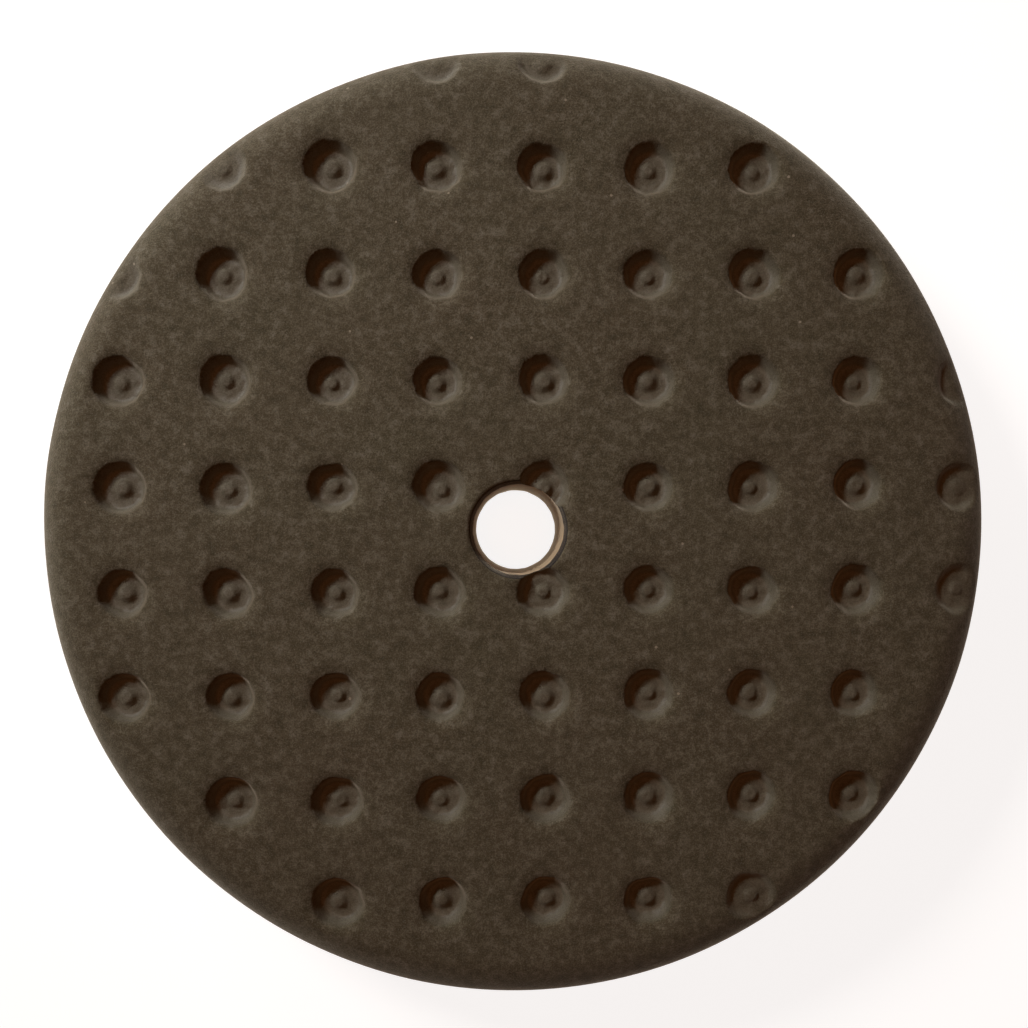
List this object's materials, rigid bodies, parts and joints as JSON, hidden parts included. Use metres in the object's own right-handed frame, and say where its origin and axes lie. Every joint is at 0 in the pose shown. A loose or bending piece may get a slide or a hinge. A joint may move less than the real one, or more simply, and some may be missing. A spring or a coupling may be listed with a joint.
{
  "type": "polishing pad",
  "caption": "Round dark foam finishing pad with a square grid of pressed dimples, a rounded rim, a centring hole and a hook-and-loop back.",
  "frame": {"origin": "on the axis of the centre hole, at the tips of the loops, which is the side that the pad lies on", "axes": "+Z along the axis of the centre hole, out of the dimpled working face; +X to the right and +Y up when the working face is seen square on, along the rows and columns of dimples"},
  "size_m": [0.165, 0.165, 0.025],
  "materials": {
    "foam": "matte open-cell polyurethane foam, charcoal brown",
    "bond_film": "hot-melt film, dull translucent",
    "loop_cloth": "knitted polyamide ground cloth, black",
    "loop_pile": "napped polyamide loops, soft sheen, black"
  },
  "bodies": {
    "root": {"foam_disc": "foam", "bond_film": "bond_film", "loop_base_cloth": "loop_cloth", "loop_pile": "loop_pile"}
  },
  "joints": []
}
